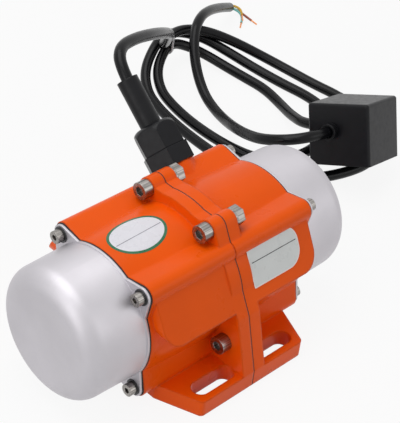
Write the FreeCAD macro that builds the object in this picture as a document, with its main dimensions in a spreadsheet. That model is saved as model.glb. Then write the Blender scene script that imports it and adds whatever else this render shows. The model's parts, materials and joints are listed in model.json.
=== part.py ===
"""Small two-shell vibration motor with cord, capacitor box and adjustable eccentric weights.

Frame: X runs along the shaft, -Y is the side with the nameplate panel, +Y the side with the
cable gland, +Z is up.  The origin is the centre of the foot-slot pattern, on the underside
of the feet.  Millimetres.
"""
import FreeCAD, Part
import math
import os

import Sketcher

Vector = FreeCAD.Vector
Rotation = FreeCAD.Rotation
Placement = FreeCAD.Placement

# ---------------------------------------------------------------- driving sizes
SIZES = {
    # cast housing halves
    "axis_height": 43.0,          # shaft axis above the underside of the feet
    "seam_gasket": 0.5,           # gasket between the two halves
    "body_half": 57.5,            # seam plane to the end face under the cap
    "barrel_radius": 41.0,        # outside of the barrel at the seam
    "barrel_end_radius": 39.0,    # outside of the barrel at the cap
    "lug_circle": 43.5,           # radius of the circle of the cap screws
    "lug_radius": 6.3,            # corner column round each cap screw
    "lug_blend_angle": 17.0,      # half angle that the root of a column takes on the barrel
    "flange_thickness": 7.75,     # bolted flange of one half
    "flange_radius": 46.7,
    "ear_spacing": 45.2,          # between the two upper flange bolts
    "ear_rise": 42.5,             # upper flange bolts above the shaft axis
    "ear_radius": 5.8,
    "wing_bolt_spacing": 88.8,    # between the two lower flange bolts
    "wing_bolt_height": 24.5,
    "wing_knee_width": 103.0,     # flange width where its side changes slope
    "wing_knee_height": 43.3,
    "panel_setback": 2.5,         # raised side panel, from the end face under the cap
    "panel_bottom": 47.0,         # height of its lower edge
    "panel_corner": 10.0,
    # feet
    "foot_width": 121.4,
    "foot_length": 75.6,          # at the outer edge, both halves together
    "foot_root_length": 96.2,     # near the barrel
    "foot_root_width": 70.0,      # where the ends of the foot start to slant
    "foot_thickness": 10.0,
    "foot_corner": 3.0,
    "slot_spacing_x": 43.8,
    "slot_spacing_y": 103.0,
    "slot_length": 28.3,
    "slot_width": 10.2,
    "base_relief_width": 52.0,    # shallow channel between the two feet
    "base_relief_depth": 1.5,
    # end caps
    "cap_gasket": 0.7,
    "cap_plate": 1.4,
    "cap_radius": 38.0,
    "cap_tip_radius": 37.4,
    "cap_length": 36.5,
    "cap_round": 10.0,
    "cap_wall": 1.6,
    "cap_lug_inset": 0.9,         # cap lugs smaller than the housing's columns
    # stator and rotor
    "stator_radius": 33.0,
    "stator_bore_radius": 19.0,
    "stator_half": 20.0,
    "slot_count": 12,
    "winding_chamber_radius": 31.0,
    "winding_length": 12.0,
    "winding_inner_radius": 20.5,
    "winding_outer_radius": 30.0,
    "air_gap": 0.4,
    "rotor_bar_count": 12,
    "rotor_bar_radius": 1.8,
    "rotor_bar_circle": 15.6,
    "end_ring_length": 5.0,
    "end_ring_inner_radius": 11.0,
    # shaft and bearings
    "bearing_face": 38.0,         # inner face of each bearing from the seam
    "bearing_width": 10.0,
    "bearing_outer_radius": 16.0,
    "shaft_radius": 6.0,
    "rotor_seat_radius": 7.5,
    "ring_wall": 2.3,
    "ball_count": 7,
    "ball_radius": 2.9,
    "bearing_shoulder": 4.0,      # housing wall outside the bearing
    "shoulder_radius": 12.0,
    "weight_recess_radius": 35.0,
    # eccentric weights
    "weight_start": 55.5,
    "weight_radius": 31.0,
    "weight_thickness": 11.0,
    "weight_hub_radius": 11.5,
    "weight_gap": 0.5,
    "circlip_width": 1.0,
    "circlip_depth": 0.6,
    "circlip_radius": 8.6,
    "shaft_overhang": 3.0,
    "set_screw_radius": 2.5,
    # fasteners
    "cap_screw_radius": 2.0,
    "cap_screw_head_radius": 3.5,
    "cap_screw_head_height": 4.0,
    "cap_screw_socket": 3.0,
    "cap_screw_length": 12.0,
    "bolt_radius": 3.0,
    "bolt_head_radius": 5.0,
    "bolt_head_height": 6.0,
    "bolt_socket": 5.0,
    "bolt_end": 15.0,             # threaded end from the seam
    "bolt_hole_radius": 3.3,
    "nut_width": 10.0,
    "nut_height": 5.0,
    "washer_thickness": 1.2,
    "washer_radius": 5.6,
    # cable gland, on a boss of the right half
    "gland_x": 26.0,
    "gland_elevation": 40.0,      # slope of its axis, which crosses the shaft axis
    "gland_seat": 49.8,           # end face of the boss from the shaft axis
    "gland_boss_radius": 12.0,
    "gland_thread_radius": 8.0,
    "gland_width": 25.0,          # across the flats of the body
    "gland_body_length": 10.0,
    "gland_spigot_length": 9.0,
    "gland_neck_radius": 9.5,
    "gland_nut_width": 23.0,
    "gland_nut_length": 16.0,
    "gland_nut_tip_radius": 7.2,
    "seal_radius": 7.4,
    "sleeve_start": 68.0,
    "sleeve_radius": 6.2,
    "sleeve_end": 104.0,          # free end of the sleeve from the shaft axis
    # cords and capacitor box
    "cord_diameter": 7.0,
    "stub_start": 34.0,           # straight end of the cord inside the gland
    "stub_end": 93.5,
    "core_diameter": 1.8,
    "copper_diameter": 1.2,
    "tie_width": 2.0,
    "tie_thickness": 0.9,
    "strand_drop": 4.1,           # front strands above and below the middle of the tie
    "strand_depth": 6.2,          # third strand behind the two front ones
    "box_width": 41.9,
    "box_height": 39.1,
    "box_depth": 43.7,
    "box_wall": 2.0,
    "box_round": 2.0,
    "potting_recess": 1.5,
    "grommet_radius": 5.2,
    "grommet_length": 5.0,
    "grommet_neck_radius": 4.3,
    # clearances
    "seat_clearance": 0.05,       # located but not pressed
    "running_clearance": 0.05,
    "ball_clearance": 0.03,
    "loose_clearance": 0.3,
}


class Size:
    """A number together with the sheet formula that it comes from."""

    def __init__(self, value, formula):
        self.value = float(value)
        self.formula = formula

    def _with(self, other, sign, value):
        return Size(value, "(%s %s %s)" % (self.formula, sign, as_size(other).formula))

    def __add__(self, other):
        return self._with(other, "+", self.value + as_size(other).value)

    def __sub__(self, other):
        return self._with(other, "-", self.value - as_size(other).value)

    def __mul__(self, other):
        return self._with(other, "*", self.value * as_size(other).value)

    def __truediv__(self, other):
        return self._with(other, "/", self.value / as_size(other).value)

    def __radd__(self, other):
        return as_size(other) + self

    def __rsub__(self, other):
        return as_size(other) - self

    def __rmul__(self, other):
        return as_size(other) * self

    def __neg__(self):
        return as_size(-1) * self


def as_size(number):
    if isinstance(number, Size):
        return number
    return Size(number, "%.9g" % number)


doc = FreeCAD.newDocument("vibration_motor")
sheet = doc.addObject("Spreadsheet::Sheet", "Sizes")
for row, (alias, number) in enumerate(SIZES.items(), start=1):
    sheet.set("A%d" % row, alias)
    sheet.set("B%d" % row, str(number))
    sheet.setAlias("B%d" % row, alias)
doc.recompute()


class SizeTable:
    """S.name is the size called name in the sheet."""

    def __getattr__(self, alias):
        return Size(sheet.get(alias), "Sizes." + alias)


S = SizeTable()
LEFT, RIGHT = -1, 1
SIDE_NAMES = {LEFT: "left", RIGHT: "right"}
ZERO = as_size(0)


def turned(length, degrees):
    """Components of a length along a direction in the plane."""
    angle = math.radians(degrees)
    return length * math.cos(angle), length * math.sin(angle)


# ---------------------------------------------------------------- sketch helpers
def new_body(label):
    body = doc.addObject("PartDesign::Body", label)
    body.Label = label
    return body


def new_sketch(body, name, plane, shift=(ZERO, ZERO, ZERO), turn=None):
    sketch = body.newObject("Sketcher::SketchObject", body.Label + "_" + name)
    for feature in body.Origin.OriginFeatures:
        if feature.Role == plane:
            sketch.AttachmentSupport = (feature, [""])
    sketch.MapMode = "FlatFace"
    base = Vector(*(as_size(value).value for value in shift))
    sketch.AttachmentOffset = Placement(base, turn or Rotation())
    for letter, value in zip("xyz", shift):
        if as_size(value).value:
            sketch.setExpression("AttachmentOffset.Base." + letter, as_size(value).formula)
    return sketch


def pin_point(sketch, curve, end, point):
    """Tie one point of a curve to two sheet formulas."""
    for kind, value, axis in (("DistanceX", point[0], -2), ("DistanceY", point[1], -1)):
        value = as_size(value)
        if abs(value.value) < 1e-9:
            sketch.addConstraint(Sketcher.Constraint("PointOnObject", curve, end, axis))
            continue
        item = sketch.addConstraint(Sketcher.Constraint(kind, -1, 1, curve, end, value.value))
        sketch.setExpression("Constraints[%d]" % item, value.formula)


def add_circle(sketch, centre, radius):
    centre = [as_size(value) for value in centre]
    radius = as_size(radius)
    at = Vector(centre[0].value, centre[1].value, 0)
    curve = sketch.addGeometry(Part.Circle(at, Vector(0, 0, 1), radius.value))
    item = sketch.addConstraint(Sketcher.Constraint("Radius", curve, radius.value))
    sketch.setExpression("Constraints[%d]" % item, radius.formula)
    pin_point(sketch, curve, 3, centre)


def add_outline(sketch, points):
    """Closed outline of straight edges through the given points."""
    points = [(as_size(u), as_size(v)) for u, v in points]
    corners = [Vector(u.value, v.value, 0) for u, v in points]
    first = sketch.GeometryCount
    count = len(points)
    for item in range(count):
        sketch.addGeometry(Part.LineSegment(corners[item], corners[(item + 1) % count]))
    for item in range(count):
        after = first + (item + 1) % count
        sketch.addConstraint(Sketcher.Constraint("Coincident", first + item, 2, after, 1))
    for item in range(count):
        pin_point(sketch, first + item, 1, points[item])


def add_belt(sketch, centres, radius):
    """Loop round equal circles, given anticlockwise: arcs joined by tangent lines."""
    centres = [(as_size(u), as_size(v)) for u, v in centres]
    radius = as_size(radius)
    middles = [Vector(u.value, v.value, 0) for u, v in centres]
    followers = middles[1:] + middles[:1]
    outward = []
    for middle, follower in zip(middles, followers):
        way = follower - middle
        outward.append(math.atan2(way.y, way.x) - math.pi / 2)
    first = sketch.GeometryCount
    count = len(middles)
    for item, middle in enumerate(middles):
        circle = Part.Circle(middle, Vector(0, 0, 1), radius.value)
        sweep = (outward[item] - outward[item - 1]) % (2 * math.pi)
        sketch.addGeometry(Part.ArcOfCircle(circle, outward[item - 1], outward[item - 1] + sweep))
    for middle, follower, angle in zip(middles, followers, outward):
        reach = Vector(math.cos(angle), math.sin(angle), 0) * radius.value
        sketch.addGeometry(Part.LineSegment(middle + reach, follower + reach))
    for item in range(count):
        arc, line, next_arc = first + item, first + count + item, first + (item + 1) % count
        sketch.addConstraint(Sketcher.Constraint("Tangent", arc, 2, line, 1))
        sketch.addConstraint(Sketcher.Constraint("Tangent", line, 2, next_arc, 1))
        pin_point(sketch, arc, 3, centres[item])
        if item:
            sketch.addConstraint(Sketcher.Constraint("Equal", first, arc))
    item = sketch.addConstraint(Sketcher.Constraint("Radius", first, radius.value))
    sketch.setExpression("Constraints[%d]" % item, radius.formula)


def add_slot(sketch, centre, length, width):
    """Round-ended slot along the sketch's first axis."""
    u, v = centre
    reach = (length - width) / 2
    add_belt(sketch, [(u + reach, v), (u - reach, v)], width / 2)


# ---------------------------------------------------------------- feature helpers
def add_feature(body, kind, name, profile):
    feature = body.newObject("PartDesign::" + kind, body.Label + "_" + name)
    feature.Profile = profile
    return feature


def pad(body, name, profile, length, reverse=False):
    length = as_size(length)
    feature = add_feature(body, "Pad", name, profile)
    feature.Length = length.value
    feature.setExpression("Length", length.formula)
    feature.Reversed = reverse
    doc.recompute()
    return feature


def pocket(body, name, profile, length, reverse=False):
    before = body.Shape.Volume
    length = as_size(length)
    feature = add_feature(body, "Pocket", name, profile)
    feature.Length = length.value
    feature.setExpression("Length", length.formula)
    feature.Reversed = reverse
    doc.recompute()
    if not body.Shape.Volume < before - 1e-3:
        raise RuntimeError("%s cuts nothing: %s" % (feature.Name, feature.State))
    return feature


def revolve(body, name, profile, kind="Revolution"):
    """Full turn about the sketch's first axis."""
    before = 0 if body.Shape.isNull() else body.Shape.Volume
    feature = add_feature(body, kind, name, profile)
    feature.ReferenceAxis = (profile, ["H_Axis"])
    feature.Angle = 360
    doc.recompute()
    if kind == "Groove" and not body.Shape.Volume < before - 1e-3:
        raise RuntimeError("%s cuts nothing" % feature.Name)
    return feature


def round_edges(body, name, radius, wanted):
    """Fillet the edges of the body's tip for which wanted(edge) is true."""
    base = body.Tip
    names = ["Edge%d" % (item + 1) for item, edge in enumerate(base.Shape.Edges) if wanted(edge)]
    if not names:
        raise RuntimeError("%s finds no edge" % name)
    feature = body.newObject("PartDesign::Fillet", body.Label + "_" + name)
    feature.Base = (base, names)
    feature.Radius = radius.value
    feature.setExpression("Radius", radius.formula)
    doc.recompute()
    if "Invalid" in feature.State:
        raise RuntimeError("%s fails" % feature.Name)
    return feature


def is_straight(edge):
    return isinstance(edge.Curve, Part.Line)


def is_near(edge, **targets):
    """True when every point of the edge has the given coordinates."""
    ends = [edge.valueAt(value) for value in edge.ParameterRange]
    for letter, target in targets.items():
        value = target.value if isinstance(target, Size) else target
        if any(abs(getattr(point, letter) - value) > 0.02 for point in ends):
            return False
    return True


def add_solid(label, shape, place=None):
    """A sub-part whose shape is made with Part's own functions."""
    feature = doc.addObject("Part::Feature", label)
    feature.Label = label
    feature.Shape = shape
    if place:
        feature.Placement = place
    return feature


# ---------------------------------------------------------------- shared places
def column_places():
    """(y, height above the shaft axis) of the four corner columns and cap screws."""
    reach = S.lug_circle * math.sqrt(0.5)
    return [(reach * side, reach * level) for side in (-1, 1) for level in (-1, 1)]


def flange_bolt_places():
    """(y, z) of the flange bolts: two through the ears, two through the wings."""
    upper = S.axis_height + S.ear_rise
    places = [(S.ear_spacing / 2 * side, upper) for side in (-1, 1)]
    places += [(S.wing_bolt_spacing / 2 * side, S.wing_bolt_height) for side in (-1, 1)]
    return places


def tangent_touch(start, centre, radius, turn):
    """Point where the line from start touches a circle, on the side that turn says."""
    gap = centre - start
    reach = gap.Length
    bearing = math.atan2(gap.y, gap.x) + turn * math.asin(radius / reach)
    length = math.sqrt(reach ** 2 - radius ** 2)
    return start + Vector(length * math.cos(bearing), length * math.sin(bearing), 0)


def column_root(barrel, column):
    """Web between the barrel and one corner column: barrel points and tangent points."""
    reach = S.lug_circle.value * math.sqrt(0.5)
    centre = Vector(reach, reach, 0)
    blend = S.lug_blend_angle.value
    points = []
    for turn in (1, -1):
        angle = math.radians(45 + turn * blend)
        start = Vector(math.cos(angle), math.sin(angle), 0) * barrel
        points.append((start, tangent_touch(start, centre, column, turn)))
    (first, first_touch), (second, second_touch) = points
    inner = Vector(1, 1, 0) * (barrel * 0.5)
    return [inner, first, first_touch, centre, second_touch, second]


def sliding_side():
    """Upper side line of the flange: its upper touch on the ear and its knee."""
    ear = Vector(S.ear_spacing.value / 2, S.axis_height.value + S.ear_rise.value, 0)
    knee = Vector(S.wing_knee_width.value / 2, S.wing_knee_height.value, 0)
    touch = tangent_touch(knee, ear, S.ear_radius.value, -1)
    return touch, knee


def side_line_at(height):
    """Half width of the flange's upper side line at a height."""
    touch, knee = sliding_side()
    share = (height - knee.y) / (touch.y - knee.y)
    return knee.x + (touch.x - knee.x) * share


def flange_plate(body, start, thickness, back):
    """The flange's outline, shared by both halves and the gasket between them."""
    shift = (ZERO, ZERO, start)
    disc = new_sketch(body, "flange_disc", "YZ_Plane", shift)
    add_circle(disc, (ZERO, S.axis_height), S.flange_radius)
    pad(body, "flange", disc, thickness, reverse=back)
    ears = new_sketch(body, "flange_ears", "YZ_Plane", shift)
    for place in flange_bolt_places()[:2]:
        add_circle(ears, place, S.ear_radius)
    pad(body, "ears", ears, thickness, reverse=back)
    touch = sliding_side()[0]
    wings = new_sketch(body, "flange_wings", "YZ_Plane", shift)
    half_foot = S.foot_width / 2
    knee_point = (S.wing_knee_width / 2, S.wing_knee_height)
    right_edge = [(touch.x, touch.y), knee_point, (half_foot, S.foot_thickness), (half_foot, ZERO)]
    left_edge = [(as_size(u) * -1, v) for u, v in reversed(right_edge)]
    add_outline(wings, right_edge + left_edge)
    pad(body, "wings", wings, thickness, reverse=back)


def cut_base_relief(body, reach):
    """Shallow channel under the middle, which also trims the flange level with the feet."""
    relief = new_sketch(body, "base_relief_outline", "XY_Plane", (ZERO, ZERO, S.base_relief_depth))
    half = S.base_relief_width / 2
    add_outline(relief, [(-reach, -half), (reach, -half), (reach, half), (-reach, half)])
    depth = S.flange_radius - S.axis_height + S.base_relief_depth + 1
    pocket(body, "base_relief", relief, depth)


def drill_flange(body, start, depth, cut_way):
    drilled = new_sketch(body, "flange_holes", "YZ_Plane", (ZERO, ZERO, start))
    for place in flange_bolt_places():
        add_circle(drilled, place, S.bolt_hole_radius)
    pocket(body, "bolt_holes", drilled, depth, reverse=cut_way)


# ---------------------------------------------------------------- cast housing halves
def add_columns(body, side, radius_drop, barrel, start, length):
    """Four corner columns with their webs, from start outwards."""
    column = S.lug_radius - radius_drop
    shift = (ZERO, S.axis_height, start * side)
    rims = new_sketch(body, "column_rims", "YZ_Plane", shift)
    for place in column_places():
        add_circle(rims, place, column)
    pad(body, "columns", rims, length, reverse=side < 0)
    webs = new_sketch(body, "column_webs", "YZ_Plane", shift)
    for y_sign in (-1, 1):
        for z_sign in (-1, 1):
            corners = column_root(barrel.value, column.value)
            add_outline(webs, [(point.x * y_sign, point.y * z_sign) for point in corners])
    pad(body, "webs", webs, length, reverse=side < 0)


def make_housing(side):
    label = SIDE_NAMES[side] + "_housing"
    body = new_body(label)
    back = side < 0
    seam = S.seam_gasket / 2
    axis_shift = (ZERO, S.axis_height, ZERO)

    barrel = new_sketch(body, "barrel_profile", "XZ_Plane", axis_shift)
    add_outline(barrel, [(seam * side, ZERO), (S.body_half * side, ZERO),
                         (S.body_half * side, S.barrel_end_radius), (seam * side, S.barrel_radius)])
    revolve(body, "barrel", barrel)
    add_columns(body, side, ZERO, S.barrel_end_radius, seam, S.body_half - seam)

    flange_plate(body, seam * side, S.flange_thickness, back)

    panels = new_sketch(body, "panel_section", "YZ_Plane", (ZERO, ZERO, seam * side))
    top = S.axis_height.value + S.lug_circle.value * math.sqrt(0.5) + 0.4 * S.lug_radius.value
    inner_width = S.barrel_end_radius * 0.9
    for sign in (-1, 1):
        add_outline(panels, [(side_line_at(top) * sign, top),
                             (side_line_at(S.panel_bottom.value) * sign, S.panel_bottom),
                             (inner_width * sign, S.panel_bottom),
                             (inner_width * 0.6 * sign, top - 10)])
    panel_end = S.body_half - S.panel_setback
    pad(body, "panels", panels, panel_end - seam, reverse=back)

    half_foot = S.foot_width / 2
    foot = new_sketch(body, "foot_outline", "XY_Plane")
    root = (S.foot_root_length / 2 * side, S.foot_root_width / 2)
    tip = (S.foot_length / 2 * side, half_foot)
    add_outline(foot, [(seam * side, half_foot), tip, root,
                       (root[0], -root[1]), (tip[0], -tip[1]), (seam * side, -half_foot)])
    pad(body, "foot", foot, S.foot_thickness)

    if side == RIGHT:
        tilt = Rotation(Vector(1, 0, 0), S.gland_elevation.value - 90)
        boss = new_sketch(body, "gland_boss_rim", "XY_Plane", (S.gland_x, ZERO, S.axis_height), tilt)
        add_circle(boss, (ZERO, ZERO), S.gland_boss_radius)
        pad(body, "gland_boss", boss, S.gland_seat)

    round_edges(body, "panel_corners", S.panel_corner, lambda edge: is_straight(edge)
                and is_near(edge, x=panel_end * side, z=S.panel_bottom))
    round_edges(body, "foot_corners", S.foot_corner, lambda edge: is_straight(edge)
                and is_near(edge, x=S.foot_length / 2 * side)
                and abs(abs(edge.CenterOfMass.y) - half_foot.value) < 0.02)

    cavity = new_sketch(body, "cavity_profile", "XZ_Plane", axis_shift)
    stator_end = S.stator_half + S.seat_clearance
    seat_end = S.bearing_face + S.bearing_width + S.seat_clearance
    recess = seat_end + S.bearing_shoulder
    steps = [(ZERO, S.stator_radius + S.seat_clearance), (stator_end, S.winding_chamber_radius),
             (S.bearing_face - 1, S.bearing_outer_radius + S.seat_clearance),
             (seat_end, S.shoulder_radius), (recess, S.weight_recess_radius)]
    points = [(ZERO, ZERO)]
    for item, (start, radius) in enumerate(steps):
        end = steps[item + 1][0] if item + 1 < len(steps) else S.body_half + 1
        points += [(as_size(start) * side, radius), (as_size(end) * side, radius)]
    points.append(((S.body_half + 1) * side, ZERO))
    add_outline(cavity, points)
    revolve(body, "cavity", cavity, "Groove")

    drill_flange(body, ZERO, seam + S.flange_thickness + 1, side > 0)
    tapped = new_sketch(body, "screw_holes", "YZ_Plane", (ZERO, S.axis_height, S.body_half * side))
    for place in column_places():
        add_circle(tapped, place, S.cap_screw_radius + S.seat_clearance)
    pocket(body, "screw_threads", tapped, S.cap_screw_length, reverse=side < 0)
    slots = new_sketch(body, "slot_outlines", "XY_Plane")
    for sign in (-1, 1):
        add_slot(slots, (S.slot_spacing_x / 2 * side, S.slot_spacing_y / 2 * sign),
                 S.slot_length, S.slot_width)
    pocket(body, "foot_slots", slots, S.foot_thickness + 1, reverse=True)
    cut_base_relief(body, S.foot_root_length / 2 + 1)
    if side == RIGHT:
        bore = new_sketch(body, "gland_thread_rim", "XY_Plane", (S.gland_x, ZERO, S.axis_height), tilt)
        add_circle(bore, (ZERO, ZERO), S.gland_thread_radius + S.seat_clearance)
        pocket(body, "gland_thread", bore, S.gland_seat + 1, reverse=True)
    return body


def make_housing_gasket():
    body = new_body("housing_gasket")
    start = -S.seam_gasket / 2
    flange_plate(body, start, S.seam_gasket, False)
    bore = new_sketch(body, "bore_rim", "YZ_Plane", (ZERO, ZERO, start - 1))
    add_circle(bore, (ZERO, S.axis_height), S.stator_radius + S.loose_clearance)
    pocket(body, "bore", bore, S.seam_gasket + 2, reverse=True)
    cut_base_relief(body, S.flange_thickness)
    drill_flange(body, start - 1, S.seam_gasket + 2, True)


# ---------------------------------------------------------------- parts round the shaft axis
def set_on_axis(body):
    """Put the body's own origin on the shaft axis, over the middle of the feet."""
    body.Placement = Placement(Vector(0, 0, S.axis_height.value), Rotation())
    body.setExpression("Placement.Base.z", S.axis_height.formula)


def axis_body(label):
    body = new_body(label)
    set_on_axis(body)
    return body


def turned_piece(body, name, points, kind="Revolution"):
    """Revolve an outline of (x, radius) points about the shaft axis."""
    profile = new_sketch(body, name + "_profile", "XZ_Plane")
    add_outline(profile, points)
    return revolve(body, name, profile, kind)


def make_ring(body, name, start, end, inner, outer, kind="Revolution"):
    return turned_piece(body, name, [(start, inner), (end, inner), (end, outer), (start, outer)], kind)


def around_axis(body, name, features, count):
    """Repeat features round the shaft axis."""
    pattern = body.newObject("PartDesign::PolarPattern", body.Label + "_" + name)
    pattern.Originals = features
    for feature in body.Origin.OriginFeatures:
        if feature.Role == "X_Axis":
            pattern.Axis = (feature, [""])
    pattern.Angle = 360
    pattern.Occurrences = int(round(count.value))
    pattern.setExpression("Occurrences", count.formula)
    body.Tip = pattern
    doc.recompute()


def column_rims(body, name, start, radius, with_webs=None):
    """Circles at the four corner columns, or the webs that join them to the barrel."""
    sketch = new_sketch(body, name, "YZ_Plane", (ZERO, ZERO, start))
    for y, z in column_places():
        if with_webs is None:
            add_circle(sketch, (y, z), radius)
            continue
        corners = column_root(with_webs.value, radius.value)
        y_sign = 1 if y.value > 0 else -1
        z_sign = 1 if z.value > 0 else -1
        add_outline(sketch, [(point.x * y_sign, point.y * z_sign) for point in corners])
    return sketch


def four_eared_plate(body, side, start, thickness, radius, ear):
    """Round plate with an ear at each corner column, from start outwards."""
    make_ring(body, "plate", start * side, (start + thickness) * side, ZERO, radius)
    rims = column_rims(body, "ear_rims", start * side, ear)
    pad(body, "ears", rims, thickness, reverse=side < 0)
    webs = column_rims(body, "ear_webs", start * side, ear, with_webs=radius)
    pad(body, "webs", webs, thickness, reverse=side < 0)


def drill_ears(body, side, start, depth, radius):
    holes = column_rims(body, "hole_rims", start * side, radius)
    pocket(body, "holes", holes, depth, reverse=side > 0)


def make_cap_gasket(side):
    body = axis_body(SIDE_NAMES[side] + "_cap_gasket")
    ear = S.lug_radius - S.cap_lug_inset / 2
    four_eared_plate(body, side, S.body_half, S.cap_gasket, S.barrel_end_radius - 0.3, ear)
    make_ring(body, "opening", (S.body_half - 1) * side, (S.body_half + S.cap_gasket + 1) * side,
              ZERO, S.weight_recess_radius + 0.5, "Groove")
    drill_ears(body, side, S.body_half - 1, S.cap_gasket + 2, S.cap_screw_radius + S.loose_clearance)


def cup_profile(body, name, side, start, end, radius, tip_radius, corner):
    """Half section of a cup about the shaft axis, with a rounded corner at its closed end."""
    sketch = new_sketch(body, name + "_profile", "XZ_Plane")
    start, end, bend = start * side, end * side, (end - corner) * side
    points = [(start, ZERO), (end, ZERO), (end, tip_radius - corner),
              (bend, tip_radius), (start, radius)]
    corners = [Vector(u.value, as_size(v).value, 0) for u, v in points]
    lines = []
    for first, last in ((0, 1), (1, 2), (3, 4), (4, 0)):
        lines.append(sketch.addGeometry(Part.LineSegment(corners[first], corners[last])))
    circle = Part.Circle(Vector(corners[3].x, corners[2].y, 0), Vector(0, 0, 1), corner.value)
    begin = 0 if side > 0 else math.pi / 2
    arc = sketch.addGeometry(Part.ArcOfCircle(circle, begin, begin + math.pi / 2))
    tip, shoulder = (1, 2) if side > 0 else (2, 1)
    joints = ((lines[0], 2, lines[1], 1), (lines[1], 2, arc, tip), (arc, shoulder, lines[2], 1),
              (lines[2], 2, lines[3], 1), (lines[3], 2, lines[0], 1))
    for joint in joints:
        sketch.addConstraint(Sketcher.Constraint("Coincident", *joint))
    for line, point in ((lines[0], 0), (lines[1], 1), (lines[2], 3), (lines[3], 4)):
        pin_point(sketch, line, 1, points[point])
    pin_point(sketch, arc, 3, (bend, tip_radius - corner))
    return sketch


def make_cap(side):
    """Drawn cup: a plate with four ears, a slightly tapered wall and a rounded closed end."""
    body = axis_body(SIDE_NAMES[side] + "_end_cap")
    start = S.body_half + S.cap_gasket
    end = start + S.cap_length
    ear = S.lug_radius - S.cap_lug_inset
    four_eared_plate(body, side, start, S.cap_plate, S.cap_radius + 0.6, ear)
    revolve(body, "cup", cup_profile(body, "cup", side, start, end,
                                     S.cap_radius, S.cap_tip_radius, S.cap_round))
    wall = S.cap_wall
    revolve(body, "inside", cup_profile(body, "inside", side, start - 1, end - wall,
                                        S.cap_radius - wall, S.cap_tip_radius - wall,
                                        S.cap_round - wall), "Groove")
    drill_ears(body, side, start - 1, S.cap_plate + 2, S.cap_screw_radius + S.loose_clearance)


def cap_seat():
    """Outer face of the cap's ears, where the washers sit."""
    return S.body_half + S.cap_gasket + S.cap_plate


def hexagon(sketch, centre, across_flats):
    corner = across_flats / math.sqrt(3)
    points = []
    for item in range(6):
        u, v = turned(1, 60 * item)
        points.append((corner * u + centre[0], corner * v + centre[1]))
    add_outline(sketch, points)


def make_cap_screws(side):
    body = axis_body(SIDE_NAMES[side] + "_cap_screws")
    seat = cap_seat() + S.washer_thickness / 2
    heads = column_rims(body, "head_rims", seat * side, S.cap_screw_head_radius)
    pad(body, "heads", heads, S.cap_screw_head_height, reverse=side < 0)
    shanks = column_rims(body, "shank_rims", (seat + 1) * side, S.cap_screw_radius)
    pad(body, "shanks", shanks, S.cap_screw_length + 1, reverse=side > 0)
    sockets = new_sketch(body, "socket_rims", "YZ_Plane",
                         (ZERO, ZERO, (seat + S.cap_screw_head_height) * side))
    for place in column_places():
        hexagon(sockets, place, S.cap_screw_socket)
    pocket(body, "sockets", sockets, S.cap_screw_head_height / 2, reverse=side < 0)


def make_cap_washers(side):
    body = axis_body(SIDE_NAMES[side] + "_cap_washers")
    rims = column_rims(body, "outer_rims", cap_seat() * side, S.cap_screw_head_radius + 1)
    pad(body, "discs", rims, S.washer_thickness / 2, reverse=side < 0)
    drill_ears(body, side, cap_seat() - 1, S.washer_thickness / 2 + 2,
               S.cap_screw_radius + S.loose_clearance / 2)


# ---------------------------------------------------------------- flange fasteners
def bolt_circles(body, name, start, radius):
    sketch = new_sketch(body, name, "YZ_Plane", (ZERO, ZERO, start))
    for place in flange_bolt_places():
        add_circle(sketch, place, radius)
    return sketch


def bolt_hexagons(body, name, start, width):
    sketch = new_sketch(body, name, "YZ_Plane", (ZERO, ZERO, start))
    for place in flange_bolt_places():
        hexagon(sketch, place, width)
    return sketch


def make_flange_bolts():
    body = new_body("flange_bolts")
    seat = S.seam_gasket / 2 + S.flange_thickness
    pad(body, "heads", bolt_circles(body, "head_rims", -seat, S.bolt_head_radius),
        S.bolt_head_height, reverse=True)
    pad(body, "shanks", bolt_circles(body, "shank_rims", -seat - 1, S.bolt_radius),
        S.bolt_end + seat + 1)
    pocket(body, "sockets", bolt_hexagons(body, "socket_rims", -seat - S.bolt_head_height,
                                          S.bolt_socket), S.bolt_head_height / 2, reverse=True)


def make_flange_washers():
    body = new_body("flange_washers")
    start = S.seam_gasket / 2 + S.flange_thickness
    pad(body, "discs", bolt_circles(body, "outer_rims", start, S.washer_radius), S.washer_thickness)
    pocket(body, "holes", bolt_circles(body, "hole_rims", start, S.bolt_radius + 0.15),
           S.washer_thickness + 1, reverse=True)


def make_flange_nuts():
    body = new_body("flange_nuts")
    start = S.seam_gasket / 2 + S.flange_thickness + S.washer_thickness
    pad(body, "nuts", bolt_hexagons(body, "nut_rims", start, S.nut_width), S.nut_height)
    pocket(body, "threads", bolt_circles(body, "thread_rims", start, S.bolt_radius + S.seat_clearance),
           S.nut_height + 1, reverse=True)


# ---------------------------------------------------------------- stator and rotor
def add_slot_outline(body, name, start, steps):
    """Symmetric outline on the upward radius: steps are (radius, half width)."""
    sketch = new_sketch(body, name, "YZ_Plane", (ZERO, ZERO, start))
    right_edge = [(half, radius) for radius, half in steps]
    left_edge = [(as_size(half) * -1, radius) for radius, half in reversed(steps)]
    add_outline(sketch, right_edge + left_edge)
    return sketch


def stator_slot_steps(clearance):
    """Half widths of a winding slot at its radii, drawn in by a clearance."""
    clearance = as_size(clearance)
    mouth = S.stator_bore_radius + 1.6 + clearance
    bottom = S.stator_radius - 5.5 - clearance
    return [(mouth, 2.9 - clearance), (bottom, 4.6 - clearance)]


def make_stator_core():
    body = axis_body("stator_core")
    make_ring(body, "stack", -S.stator_half, S.stator_half, S.stator_bore_radius, S.stator_radius)
    steps = [(S.stator_bore_radius - 1, 1.0), (S.stator_bore_radius + 1.6, 1.0)]
    outline = add_slot_outline(body, "slot_outline", -S.stator_half, steps + stator_slot_steps(0))
    slot = pocket(body, "winding_slot", outline, S.stator_half * 2, reverse=True)
    around_axis(body, "winding_slots", [slot], S.slot_count)


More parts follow.
